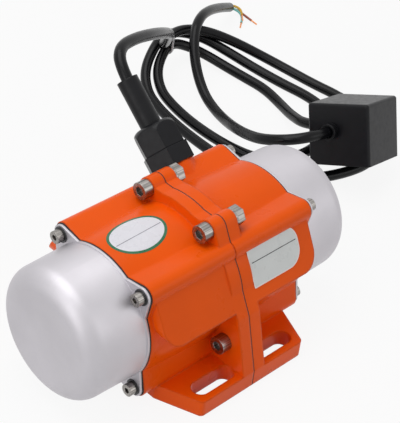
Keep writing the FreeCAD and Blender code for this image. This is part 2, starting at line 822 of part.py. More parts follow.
def make_stator_winding():
    """Copper in the slots and the two bundles of end turns, taken as one piece."""
    body = axis_body("stator_winding")
    inset = S.seat_clearance * 2
    first = S.stator_half + inset
    last = S.stator_half + S.winding_length
    outline = add_slot_outline(body, "conductor_outline", -first - 1, stator_slot_steps(inset))
    bar = pad(body, "conductor", outline, first * 2 + 2)
    around_axis(body, "conductors", [bar], S.slot_count)
    inner = S.winding_inner_radius
    outer = S.winding_outer_radius
    for side in (LEFT, RIGHT):
        points = [(first, inner), (last - 2, inner), (last, inner + 2),
                  (last, outer - 3), (last - 3, outer), (first, outer)]
        turned_piece(body, SIDE_NAMES[side] + "_end_turns", [(x * side, r) for x, r in points])


def rotor_radius():
    return S.stator_bore_radius - S.air_gap


def make_rotor_core():
    body = axis_body("rotor_core")
    make_ring(body, "stack", -S.stator_half, S.stator_half, S.rotor_seat_radius + 0.02, rotor_radius())
    rim = new_sketch(body, "bar_hole_rim", "YZ_Plane", (ZERO, ZERO, -S.stator_half))
    add_circle(rim, (ZERO, S.rotor_bar_circle), S.rotor_bar_radius)
    hole = pocket(body, "bar_hole", rim, S.stator_half * 2, reverse=True)
    around_axis(body, "bar_holes", [hole], S.rotor_bar_count)


def make_squirrel_cage():
    body = axis_body("squirrel_cage")
    reach = S.stator_half + 1
    rim = new_sketch(body, "bar_rim", "YZ_Plane", (ZERO, ZERO, -reach))
    add_circle(rim, (ZERO, S.rotor_bar_circle), S.rotor_bar_radius - S.seat_clearance)
    bar = pad(body, "bar", rim, reach * 2)
    around_axis(body, "bars", [bar], S.rotor_bar_count)
    start = S.stator_half + 0.02
    for side in (LEFT, RIGHT):
        make_ring(body, SIDE_NAMES[side] + "_end_ring", start * side,
                  (start + S.end_ring_length) * side, S.end_ring_inner_radius, rotor_radius() - 0.2)


def adjustable_start():
    return S.weight_start + S.weight_thickness + S.weight_gap


def circlip_start():
    return adjustable_start() + S.weight_thickness + S.seat_clearance


def make_shaft():
    body = axis_body("shaft")
    end = circlip_start() + S.circlip_width + S.shaft_overhang
    shoulder = S.bearing_face
    make_ring(body, "journal", -end, end, ZERO, S.shaft_radius)
    make_ring(body, "rotor_seat", -shoulder, shoulder, ZERO, S.rotor_seat_radius)
    for side in (LEFT, RIGHT):
        make_ring(body, SIDE_NAMES[side] + "_circlip_groove", circlip_start() * side,
                  (circlip_start() + S.circlip_width + 0.1) * side,
                  S.shaft_radius - S.circlip_depth, S.shaft_radius + 1, "Groove")


# ---------------------------------------------------------------- ball bearings
def bearing_middle():
    return S.bearing_face + S.bearing_width / 2


def ball_circle():
    return (S.shaft_radius + S.bearing_outer_radius) / 2


def cut_raceway(body, side):
    """Round groove that the balls run in."""
    rim = new_sketch(body, "raceway_rim", "XZ_Plane")
    add_circle(rim, (bearing_middle() * side, ball_circle()), S.ball_radius + S.ball_clearance)
    revolve(body, "raceway", rim, "Groove")


def make_bearing(side):
    name = SIDE_NAMES[side]
    start = S.bearing_face + 0.02
    end = S.bearing_face + S.bearing_width
    inner = S.shaft_radius + 0.02
    outer_ring = axis_body(name + "_outer_ring")
    make_ring(outer_ring, "ring", start * side, end * side,
              S.bearing_outer_radius - S.ring_wall, S.bearing_outer_radius)
    cut_raceway(outer_ring, side)
    inner_ring = axis_body(name + "_inner_ring")
    make_ring(inner_ring, "ring", start * side, end * side, inner, S.shaft_radius + S.ring_wall)
    cut_raceway(inner_ring, side)

    balls = axis_body(name + "_balls")
    ball = add_ball(balls, side, S.ball_radius, "Revolution")
    around_axis(balls, "set", [ball], S.ball_count)

    cage = axis_body(name + "_ball_cage")
    half = S.ball_radius + 0.7
    make_ring(cage, "band", (bearing_middle() - half) * side, (bearing_middle() + half) * side,
              ball_circle() - 1, ball_circle() + 1)
    opening = add_ball(cage, side, S.ball_radius + S.ball_clearance, "Groove")
    around_axis(cage, "pockets", [opening], S.ball_count)


def add_ball(body, side, radius, kind):
    """Ball above the shaft, as a half disc turned about its own flat side."""
    middle = (bearing_middle() * side, ball_circle(), ZERO)
    sketch = new_sketch(body, "ball_profile", "XZ_Plane", middle)
    circle = Part.Circle(Vector(), Vector(0, 0, 1), radius.value)
    arc = sketch.addGeometry(Part.ArcOfCircle(circle, 0, math.pi))
    line = sketch.addGeometry(Part.LineSegment(Vector(-radius.value, 0, 0), Vector(radius.value, 0, 0)))
    sketch.addConstraint(Sketcher.Constraint("Coincident", arc, 3, -1, 1))
    sketch.addConstraint(Sketcher.Constraint("Coincident", arc, 2, line, 1))
    sketch.addConstraint(Sketcher.Constraint("Coincident", arc, 1, line, 2))
    sketch.addConstraint(Sketcher.Constraint("PointOnObject", arc, 1, -1))
    sketch.addConstraint(Sketcher.Constraint("PointOnObject", arc, 2, -1))
    item = sketch.addConstraint(Sketcher.Constraint("Radius", arc, radius.value))
    sketch.setExpression("Constraints[%d]" % item, radius.formula)
    return revolve(body, "ball", sketch, kind)


def make_spacer(side):
    """Sleeve that carries the push of the weights to the bearing's inner ring."""
    body = axis_body(SIDE_NAMES[side] + "_spacer")
    start = S.bearing_face + S.bearing_width
    make_ring(body, "sleeve", start * side, S.weight_start * side,
              S.shaft_radius + 0.02, S.shaft_radius + S.ring_wall)


# ---------------------------------------------------------------- eccentric weights
def half_disc(sketch, radius):
    """Half disc below the shaft axis."""
    circle = Part.Circle(Vector(), Vector(0, 0, 1), radius.value)
    arc = sketch.addGeometry(Part.ArcOfCircle(circle, math.pi, 2 * math.pi))
    line = sketch.addGeometry(Part.LineSegment(Vector(radius.value, 0, 0), Vector(-radius.value, 0, 0)))
    sketch.addConstraint(Sketcher.Constraint("Coincident", arc, 3, -1, 1))
    sketch.addConstraint(Sketcher.Constraint("Coincident", arc, 2, line, 1))
    sketch.addConstraint(Sketcher.Constraint("Coincident", arc, 1, line, 2))
    sketch.addConstraint(Sketcher.Constraint("PointOnObject", arc, 1, -1))
    sketch.addConstraint(Sketcher.Constraint("PointOnObject", arc, 2, -1))
    item = sketch.addConstraint(Sketcher.Constraint("Radius", arc, radius.value))
    sketch.setExpression("Constraints[%d]" % item, radius.formula)


def make_weight(side, kind, start, bore_clearance):
    body = axis_body("%s_%s_weight" % (SIDE_NAMES[side], kind))
    fan = new_sketch(body, "fan_outline", "YZ_Plane", (ZERO, ZERO, start * side))
    half_disc(fan, S.weight_radius)
    pad(body, "fan", fan, S.weight_thickness, reverse=side < 0)
    make_ring(body, "hub", start * side, (start + S.weight_thickness) * side,
              ZERO, S.weight_hub_radius)
    make_ring(body, "bore", (start - 1) * side, (start + S.weight_thickness + 1) * side,
              ZERO, S.shaft_radius + bore_clearance, "Groove")
    middle = (start + S.weight_thickness / 2) * side
    hole = new_sketch(body, "set_screw_hole", "XY_Plane", (ZERO, ZERO, S.weight_hub_radius))
    add_circle(hole, (middle, ZERO), S.set_screw_radius + S.seat_clearance)
    pocket(body, "set_screw_thread", hole, S.weight_hub_radius - S.shaft_radius + 1)

    screw = axis_body("%s_%s_weight_screw" % (SIDE_NAMES[side], kind))
    top = S.weight_hub_radius - 0.4
    rim = new_sketch(screw, "rim", "XY_Plane", (ZERO, ZERO, top))
    add_circle(rim, (middle, ZERO), S.set_screw_radius)
    pad(screw, "thread", rim, top - S.shaft_radius - 0.06, reverse=True)
    socket = new_sketch(screw, "socket_rim", "XY_Plane", (ZERO, ZERO, top))
    hexagon(socket, (middle, ZERO), S.set_screw_radius)
    pocket(screw, "socket", socket, S.set_screw_radius / 2)


def make_circlip(side):
    body = axis_body(SIDE_NAMES[side] + "_circlip")
    start = circlip_start() + 0.02
    end = start + S.circlip_width
    make_ring(body, "ring", start * side, end * side,
              S.shaft_radius - S.circlip_depth + S.seat_clearance, S.circlip_radius)
    gap = new_sketch(body, "gap_outline", "XZ_Plane")
    top = S.circlip_radius + 1
    add_outline(gap, [((start - 1) * side, ZERO), ((end + 1) * side, ZERO),
                      ((end + 1) * side, top), ((start - 1) * side, top)])
    cut = add_feature(body, "Pocket", "gap", gap)
    cut.Length = 3
    cut.Midplane = True
    doc.recompute()


# ---------------------------------------------------------------- cable gland
def gland_body(label):
    """Body whose +Z runs out along the gland, from a point on the shaft axis."""
    body = new_body(label)
    tilt = S.gland_elevation - 90
    base = Vector(S.gland_x.value, 0, S.axis_height.value)
    body.Placement = Placement(base, Rotation(Vector(1, 0, 0), tilt.value))
    body.setExpression("Placement.Base.x", S.gland_x.formula)
    body.setExpression("Placement.Base.z", S.axis_height.formula)
    body.setExpression("Placement.Rotation.Angle", tilt.formula)
    return body


def gland_disc(body, name, start, length, radius):
    rim = new_sketch(body, name + "_rim", "XY_Plane", (ZERO, ZERO, start))
    add_circle(rim, (ZERO, ZERO), radius)
    return pad(body, name, rim, length)


def gland_bore(body, name, start, length, radius):
    rim = new_sketch(body, name + "_rim", "XY_Plane", (ZERO, ZERO, start))
    add_circle(rim, (ZERO, ZERO), radius)
    return pocket(body, name, rim, length, reverse=True)


def add_round_shoulder(sketch, edge, top, tip):
    """Section of what a dome leaves off a block: outside its quarter arc from edge to tip."""
    drop = edge - tip
    middle = Vector(tip.value, (top - drop).value, 0)
    circle = Part.Circle(middle, Vector(0, 0, 1), drop.value)
    arc = sketch.addGeometry(Part.ArcOfCircle(circle, 0, math.pi / 2))
    points = [(tip, top), (tip, top + 1), (edge + 1, top + 1), (edge + 1, top - drop), (edge, top - drop)]
    corners = [Vector(u.value, v.value, 0) for u, v in points]
    lines = [sketch.addGeometry(Part.LineSegment(first, last))
             for first, last in zip(corners, corners[1:])]
    for before, after in zip([arc] + lines, lines + [arc]):
        sketch.addConstraint(Sketcher.Constraint("Coincident", before, 2, after, 1))
    for line, point in zip(lines[1:], points[1:]):
        pin_point(sketch, line, 1, point)
    pin_point(sketch, arc, 3, (tip, top - drop))
    item = sketch.addConstraint(Sketcher.Constraint("Radius", arc, drop.value))
    sketch.setExpression("Constraints[%d]" % item, drop.formula)


def make_gland():
    cord = S.cord_diameter / 2
    seat = S.gland_seat
    shoulder = seat + S.gland_body_length
    nut_end = shoulder + S.gland_nut_length

    body = gland_body("gland_body")
    flats = new_sketch(body, "flats", "XY_Plane", (ZERO, ZERO, seat))
    hexagon(flats, (ZERO, ZERO), S.gland_width)
    pad(body, "hexagon", flats, S.gland_body_length)
    gland_disc(body, "spigot", seat - S.gland_spigot_length, S.gland_spigot_length + 1,
               S.gland_thread_radius)
    gland_disc(body, "neck", shoulder - 1, S.gland_spigot_length - 1, S.gland_neck_radius)
    gland_bore(body, "cord_way", S.barrel_radius - 2, S.gland_nut_length * 2, cord + S.loose_clearance)
    gland_bore(body, "seal_seat", shoulder - 2, S.gland_spigot_length + 2,
               S.seal_radius + S.seat_clearance)

    seal = gland_body("gland_seal")
    gland_disc(seal, "ring", shoulder - 2, S.gland_spigot_length, S.seal_radius)
    gland_bore(seal, "cord_way", shoulder - 3, S.gland_spigot_length + 2, cord + S.seat_clearance)

    nut = gland_body("gland_nut")
    grip = new_sketch(nut, "flats", "XY_Plane", (ZERO, ZERO, shoulder + S.seat_clearance))
    hexagon(grip, (ZERO, ZERO), S.gland_nut_width)
    pad(nut, "grip", grip, S.gland_nut_length)
    crown = new_sketch(nut, "crown_profile", "XZ_Plane")
    add_round_shoulder(crown, S.gland_nut_width / math.sqrt(3), nut_end, S.gland_nut_tip_radius)
    cut = add_feature(nut, "Groove", "crown", crown)
    cut.ReferenceAxis = (crown, ["V_Axis"])
    cut.Angle = 360
    doc.recompute()
    gland_bore(nut, "thread", shoulder - 1, S.gland_spigot_length + 1,
               S.gland_neck_radius + S.seat_clearance)
    gland_bore(nut, "outlet", shoulder - 1, S.gland_nut_length + 3, S.sleeve_radius + S.seat_clearance)

    sleeve = gland_body("cable_sleeve")
    gland_disc(sleeve, "tube", S.sleeve_start, S.sleeve_end - S.sleeve_start, S.sleeve_radius)
    gland_bore(sleeve, "cord_way", S.sleeve_start - 1, S.sleeve_end - S.sleeve_start + 2,
               cord + S.seat_clearance)
    stub = gland_body("cord_stub")
    gland_disc(stub, "cord", S.stub_start, S.stub_end - S.stub_start, cord)


# ---------------------------------------------------------------- cords
def gland_axis_point(distance):
    """Point on the gland's axis at a distance from the shaft axis."""
    out, up = turned(distance, S.gland_elevation.value)
    return (S.gland_x.value, out, S.axis_height.value + up)


STRAND = 3.6      # height of a strand's middle that lies on the floor
MOTOR_CORD = [
    gland_axis_point(94), gland_axis_point(112), (34, 96, 119.5), (52, 103, 115.5),
    (74, 111.5, 106.5), (97, 124.5, 93), (119, 141.5, 76.5), (139, 161, 58.5), (154.5, 179, 38.5),
    (168.64, 194.37, 25.5), (183.36, 200.63, 25.5), (197, 200, 24.5), (210, 190.5, 22),
    (222, 176, 16.5), (232, 158, 10.5),
    (239.5, 138, 6), (244, 118, STRAND), (247, 98, STRAND), (246, 76, STRAND), (238, 54, STRAND),
    (222, 38, STRAND), (201, 31.5, STRAND), (179, 35, STRAND), (158, 44, STRAND),
    (141, 58, STRAND), (131, 76, STRAND), (128.5, 96, STRAND), (129, 118, STRAND),
    (131, 140, STRAND), (135, 161, STRAND), (140.5, 178, 5), (150, 192, 12),
    (166.21, 200.08, 21.4), (180.94, 206.33, 21.4), (196, 207, 19), (209, 195, 15.5),
    (216.5, 175.5, 10), (221.5, 154, 6),
    (226, 132, STRAND), (229, 110, STRAND), (226.5, 90, STRAND), (214, 75, STRAND),
    (196, 67, STRAND), (176, 64.5, STRAND), (158, 69, STRAND), (146.5, 81, STRAND),
    (142, 98, STRAND), (140.5, 118, STRAND), (141.5, 138, STRAND), (145, 158, STRAND),
    (149.5, 174, 4.5), (156.5, 186.5, 11), (168.64, 194.37, 17.3), (183.36, 200.63, 17.3),
    (196, 197, 12), (204, 185, 7.5), (208, 169, 4.5), (210, 152, STRAND), (211, 134, STRAND),
    (206, 114, STRAND), (197, 96.5, 8), (186.49, 74.24, 16.78), (192.5, 54.44, 24.26),
]
SUPPLY_CORD = [
    (174.56, 42.29, 36.19), (155.74, 38.78, 42.01), (139.5, 46.5, 40.5), (133, 64.5, 33),
    (138.5, 83, 24), (147, 101.5, 15.5), (156.5, 119, 7.8), (164, 136, 3.9), (169, 151, 5.5),
    (174, 164, 12.5), (180, 175.5, 22.5), (189, 185.5, 32.5), (202, 193.5, 35.5),
    (217.5, 201, 31.5), (233.5, 208.5, 24.5), (249.5, 216, 16.5), (264.5, 223.5, 8),
]
CORES = {
    "yellow_green": [(265.02, 223.75, 9), (267.5, 224.95, 7.7), (270.5, 223.9, 6.9),
                     (271.8, 220.7, 6.4), (270.9, 216.7, 5.8), (267.9, 213.1, 5.1)],
    "blue": [(264.75, 222.53, 7.45), (267.14, 223.69, 6.05), (269.86, 222.57, 4.83),
             (271, 219.5, 4), (270.2, 215.7, 3.2), (267.2, 211.9, 2.4), (263.5, 209, 2)],
    "brown": [(263.87, 224.3, 7.47), (267.46, 226.03, 5.37), (271.1, 225.6, 3.7),
              (273.3, 221.8, 2.9), (273, 214.9, 2.3), (272.2, 207, 2.1)],
}
COPPER_LENGTH = 6.0


def tube(points, diameter):
    """Solid cord of straight runs joined by tangent arcs, with flat ends."""
    points = [Vector(*point) for point in points]
    edges = []
    last = points[0]
    for before, point, after in zip(points, points[1:], points[2:]):
        arriving = (point - before).normalize()
        leaving = (after - point).normalize()
        half_turn = arriving.getAngle(leaving) / 2
        cut = 0.45 * min((point - before).Length, (after - point).Length)
        radius = cut / math.tan(half_turn)
        start = point - arriving * cut
        end = point + leaving * cut
        inward = (leaving - arriving).normalize()
        crown = point + inward * (radius / math.cos(half_turn) - radius)
        edges.append(Part.makeLine(last, start))
        edges.append(Part.Arc(start, crown, end).toShape())
        last = end
    edges.append(Part.makeLine(last, points[-1]))
    path = Part.Wire(edges)
    rim = Part.Wire(Part.makeCircle(diameter / 2, points[0], (points[1] - points[0]).normalize()))
    solid = path.makePipeShell([rim], True, False)
    expected = math.pi * diameter ** 2 / 4 * path.Length
    if abs(solid.Volume / expected - 1) > 0.01:
        raise RuntimeError("cord volume %.0f, expected %.0f" % (solid.Volume, expected))
    return solid, path.Length


def make_cord(label, points, diameter):
    solid, length = tube(points, diameter)
    add_solid(label, solid)
    print("%s: %.0f mm long" % (label, length))


def make_cords():
    make_cord("motor_cord", MOTOR_CORD, S.cord_diameter.value)
    make_cord("supply_cord", SUPPLY_CORD, S.cord_diameter.value)
    ends = []
    for name, points in CORES.items():
        make_cord("core_" + name, points, S.core_diameter.value)
        tip = Vector(*points[-1])
        way = (tip - Vector(*points[-2])).normalize()
        ends.append(Part.makeCylinder(S.copper_diameter.value / 2, COPPER_LENGTH, tip + way * 0.02, way))
    add_solid("copper_ends", Part.makeCompound(ends))


TIE_PLACE = (176, 197.5, 21.4)
TIE_YAW = 23


def make_tie():
    """Flat strap pulled round the three strands of the hank."""
    body = new_body("cord_tie")
    across = Rotation(Vector(0, 0, 1), TIE_YAW) * Rotation(Vector(0, 1, 0), 90)
    body.Placement = Placement(Vector(*TIE_PLACE), across)
    strands = [(-S.strand_drop, ZERO), (S.strand_drop, ZERO), (ZERO, S.strand_depth)]
    inner = S.cord_diameter / 2 + S.seat_clearance
    rim = new_sketch(body, "strap_rim", "XY_Plane", (ZERO, ZERO, -S.tie_width / 2))
    add_belt(rim, strands, inner + S.tie_thickness)
    pad(body, "strap", rim, S.tie_width)
    rim = new_sketch(body, "strands_rim", "XY_Plane", (ZERO, ZERO, S.tie_width / 2))
    add_belt(rim, strands, inner)
    pocket(body, "strands", rim, S.tie_width + 1)


# ---------------------------------------------------------------- capacitor box
BOX_CORNER = (160.0, 47.0, 13.0)          # lower corner of the front face
BOX_TURN = (-73.13, -19.88, 72.0)         # yaw, pitch and roll of the tilted box
SUPPLY_EXIT = (16.1, 21.8)                # on the front face, from the corner
MOTOR_ENTRY = (19.6, -28.6)               # height and depth on the side face


def box_body(label):
    body = new_body(label)
    body.Placement = Placement(Vector(*BOX_CORNER), Rotation(*BOX_TURN))
    return body


def make_box():
    """Box with its front face at z = 0 and its open, resin-filled side downwards."""
    width, height, depth, wall = S.box_width, S.box_height, S.box_depth, S.box_wall
    neck = S.grommet_neck_radius + S.seat_clearance
    body = box_body("capacitor_box")
    outline = new_sketch(body, "outline", "XY_Plane")
    add_outline(outline, [(ZERO, ZERO), (width, ZERO), (width, height), (ZERO, height)])
    pad(body, "block", outline, depth, reverse=True)
    round_edges(body, "rounded_edges", S.box_round,
                lambda edge: edge.BoundBox.YMax > S.box_round.value)
    inside = new_sketch(body, "inside_outline", "XY_Plane", (ZERO, ZERO, -wall))
    add_outline(inside, [(wall, -as_size(1)), (width - wall, -as_size(1)),
                         (width - wall, height - wall), (wall, height - wall)])
    pocket(body, "inside", inside, depth - wall * 2)
    front = new_sketch(body, "front_hole_rim", "XY_Plane", (ZERO, ZERO, ZERO))
    add_circle(front, SUPPLY_EXIT, neck)
    pocket(body, "front_hole", front, wall + 0.5)
    side = new_sketch(body, "side_hole_rim", "YZ_Plane")
    add_circle(side, MOTOR_ENTRY, neck)
    pocket(body, "side_hole", side, wall + 0.5, reverse=True)

    potting = box_body("potting_resin")
    inset = wall + S.seat_clearance
    fill = new_sketch(potting, "outline", "XY_Plane", (ZERO, ZERO, -inset))
    low = S.potting_recess
    add_outline(fill, [(inset, low), (width - inset, low),
                       (width - inset, height - inset), (inset, height - inset)])
    pad(potting, "block", fill, depth - inset * 2, reverse=True)
    cord = S.cord_diameter / 2 + S.loose_clearance
    way = new_sketch(potting, "supply_way_rim", "XY_Plane", (ZERO, ZERO, -inset))
    add_circle(way, SUPPLY_EXIT, cord)
    pocket(potting, "supply_way", way, 7)
    way = new_sketch(potting, "motor_way_rim", "YZ_Plane", (ZERO, ZERO, inset))
    add_circle(way, MOTOR_ENTRY, cord)
    pocket(potting, "motor_way", way, 7, reverse=True)

    for name, plane, place, away in (("supply_grommet", "XY_Plane", SUPPLY_EXIT, 1),
                                     ("motor_grommet", "YZ_Plane", MOTOR_ENTRY, -1)):
        grommet = box_body(name)
        rim = new_sketch(grommet, "collar_rim", plane)
        add_circle(rim, place, S.grommet_radius)
        pad(grommet, "collar", rim, S.grommet_length, reverse=away < 0)
        rim = new_sketch(grommet, "neck_rim", plane)
        add_circle(rim, place, S.grommet_neck_radius)
        pad(grommet, "neck", rim, wall, reverse=away > 0)
        rim = new_sketch(grommet, "cord_way_rim", plane, (ZERO, ZERO, S.grommet_length * away))
        add_circle(rim, place, S.cord_diameter / 2 + S.seat_clearance)
        pocket(grommet, "cord_way", rim, S.grommet_length + wall + 1, reverse=away < 0)


# ---------------------------------------------------------------- all sub-parts
make_housing_gasket()
for side in (LEFT, RIGHT):
    make_housing(side)
    make_cap_gasket(side)
    make_cap(side)
    make_cap_screws(side)
    make_cap_washers(side)
    make_bearing(side)
    make_spacer(side)
    make_weight(side, "fixed", S.weight_start, as_size(0.02))
    make_weight(side, "adjustable", adjustable_start(), S.running_clearance)
    make_circlip(side)
make_flange_bolts()
make_flange_washers()
make_flange_nuts()
make_stator_core()
make_stator_winding()
make_rotor_core()
make_squirrel_cage()
make_shaft()
make_gland()
make_cords()
make_tie()
make_box()
doc.recompute()


# ---------------------------------------------------------------- writing
def check_document():
    for item in doc.Objects:
        if "Invalid" in item.State or "Error" in item.State:
            raise RuntimeError("%s is %s" % (item.Label, item.State))


def sub_parts():
    return [item for item in doc.Objects if item.TypeId in ("PartDesign::Body", "Part::Feature")]


check_document()
os.makedirs("parts", exist_ok=True)
for item in sub_parts():
    if item.Shape.isNull() or not item.Shape.isValid():
        raise RuntimeError("%s has no valid shape" % item.Label)
    item.Shape.exportStep("parts/%s.step" % item.Label)
    print("%-28s %d solid(s) %10.1f mm3" % (item.Label, len(item.Shape.Solids), item.Shape.Volume))
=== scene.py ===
"""Looks of the vibration motor: paint, steel, rubber, labels, cords and the studio."""
import json
import math

import bmesh
import bpy
from mathutils import Matrix, Vector


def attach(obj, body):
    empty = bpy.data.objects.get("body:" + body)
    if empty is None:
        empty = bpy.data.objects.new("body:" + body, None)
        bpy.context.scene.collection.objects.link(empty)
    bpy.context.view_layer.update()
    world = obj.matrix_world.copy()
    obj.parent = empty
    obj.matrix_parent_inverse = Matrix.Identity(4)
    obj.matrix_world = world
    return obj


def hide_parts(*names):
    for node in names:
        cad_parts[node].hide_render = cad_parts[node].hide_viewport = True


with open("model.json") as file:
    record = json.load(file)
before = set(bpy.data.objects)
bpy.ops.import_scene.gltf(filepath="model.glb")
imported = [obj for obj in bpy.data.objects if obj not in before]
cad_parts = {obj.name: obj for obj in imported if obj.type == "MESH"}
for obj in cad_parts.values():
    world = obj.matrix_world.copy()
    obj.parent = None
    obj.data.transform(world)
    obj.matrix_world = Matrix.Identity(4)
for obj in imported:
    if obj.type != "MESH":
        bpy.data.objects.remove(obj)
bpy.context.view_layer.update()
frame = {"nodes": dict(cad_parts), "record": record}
NODES = frame["nodes"]
MM = 0.001
SHAFT_HEIGHT = 43.0
scene = bpy.context.scene


# ---------------------------------------------------------------- camera
CAMERA_PLACE = Vector((-0.43743, -0.40113, 0.53834))
CAMERA_RIGHT = Vector((0.71689, -0.69083, 0.09395))
CAMERA_UP = Vector((0.37214, 0.49312, 0.78635))
LENS = 121.96


def make_camera():
    """Camera fitted to the photograph's view."""
    data = bpy.data.cameras.new("camera")
    data.lens = LENS
    data.sensor_width = 36
    camera = bpy.data.objects.new("camera", data)
    scene.collection.objects.link(camera)
    right = CAMERA_RIGHT.normalized()
    back = right.cross(CAMERA_UP).normalized()
    up = back.cross(right)
    turn = Matrix((right, up, back)).transposed().to_4x4()
    camera.matrix_world = Matrix.Translation(CAMERA_PLACE) @ turn
    scene.camera = camera


make_camera()


# ---------------------------------------------------------------- material helpers
class Shading:
    """A material's node tree, with short names for the few nodes it needs."""

    def __init__(self, name):
        self.material = bpy.data.materials.new(name)
        self.material.use_nodes = True
        self.nodes = self.material.node_tree.nodes
        self.links = self.material.node_tree.links
        self.shader = self.nodes["Principled BSDF"]
        self.place = self.nodes.new("ShaderNodeTexCoord").outputs["Object"]
        self.normal = None

    def link(self, output, target):
        self.links.new(output, target)

    def set(self, **values):
        for key, value in values.items():
            self.shader.inputs[key.replace("_", " ")].default_value = value
        return self

    def noise(self, scale, detail=4, stretch=(1, 1, 1), roughness=0.5):
        mapping = self.nodes.new("ShaderNodeMapping")
        mapping.inputs["Scale"].default_value = stretch
        self.link(self.place, mapping.inputs["Vector"])
        node = self.nodes.new("ShaderNodeTexNoise")
        node.inputs["Scale"].default_value = scale
        node.inputs["Detail"].default_value = detail
        node.inputs["Roughness"].default_value = roughness
        self.link(mapping.outputs["Vector"], node.inputs["Vector"])
        return node.outputs["Fac"]

    def spread(self, value, low, high, start=0.3, end=0.7):
        """Map a 0 to 1 value to low..high."""
        node = self.nodes.new("ShaderNodeMapRange")
        node.inputs["From Min"].default_value = start
        node.inputs["From Max"].default_value = end
        node.inputs["To Min"].default_value = low
        node.inputs["To Max"].default_value = high
        self.link(value, node.inputs["Value"])
        return node.outputs["Result"]

    def blend(self, value, first, second, start=0.35, end=0.65):
        """Colours by a 0 to 1 value."""
        node = self.nodes.new("ShaderNodeValToRGB")
        node.color_ramp.elements[0].position = start
        node.color_ramp.elements[1].position = end
        node.color_ramp.elements[0].color = (*first, 1)
        node.color_ramp.elements[1].color = (*second, 1)
        self.link(value, node.inputs["Fac"])
        return node.outputs["Color"]

    def colour(self, output):
        self.link(output, self.shader.inputs["Base Color"])

    def roughness(self, output):
        self.link(output, self.shader.inputs["Roughness"])

    def rounded(self, radius):
        """Shade edges and inner corners as if they had this radius, in mm."""
        node = self.nodes.new("ShaderNodeBevel")
        node.samples = 6
        node.inputs["Radius"].default_value = radius * MM
        self.normal = node.outputs["Normal"]

    def bump(self, *layers):
        """Bumps from (height, distance in mm, strength) layers, one on top of the other."""
        last = self.normal
        for height, distance, strength in layers:
            node = self.nodes.new("ShaderNodeBump")
            node.inputs["Strength"].default_value = strength
            node.inputs["Distance"].default_value = distance * MM
            self.link(height, node.inputs["Height"])
            if last:
                self.link(last, node.inputs["Normal"])
            last = node.outputs["Normal"]
        self.link(last, self.shader.inputs["Normal"])
        return self


def shade_of(colour, factor):
    """The colour made lighter or darker."""
    return tuple(min(1.0, value * factor) for value in colour)


def mottled(name, colour, variation, scale, rough, bumps, rounding=0.0, **values):
    """A surface whose colour and gloss wander a little, with layers of bump."""
    shading = Shading(name).set(**values)
    if rounding:
        shading.rounded(rounding)
    wander = shading.noise(scale, detail=5)
    darker, lighter = shade_of(colour, 1 - variation), shade_of(colour, 1 + variation)
    shading.colour(shading.blend(wander, darker, lighter))
    shading.roughness(shading.spread(shading.noise(scale * 2.3, detail=3), rough[0], rough[1]))
    layers = []
    for bump_scale, distance, strength in bumps:
        layers.append((shading.noise(bump_scale, detail=2), distance, strength))
    shading.bump(*layers)
    return shading.material


def knurled(name, colour):
    """Steel with grooves along X, as on the rims of the screw heads; its colour has painted shade in the
    grooves and a painted highlight on the ridges.
    """
    shading = Shading(name).set(Metallic=1.0, Roughness=0.3)
    shading.rounded(0.5)
    grooves = shading.noise(1500, detail=1, stretch=(0.02, 1, 1))
    # painted shade and highlight: the colour is darker in the grooves and lighter on the ridges,
    # following the bump
    shading.colour(shading.blend(grooves, shade_of(colour, 0.6), shade_of(colour, 1.1), 0.4, 0.6))
    shading.bump((grooves, 0.15, 0.5))
    return shading.material


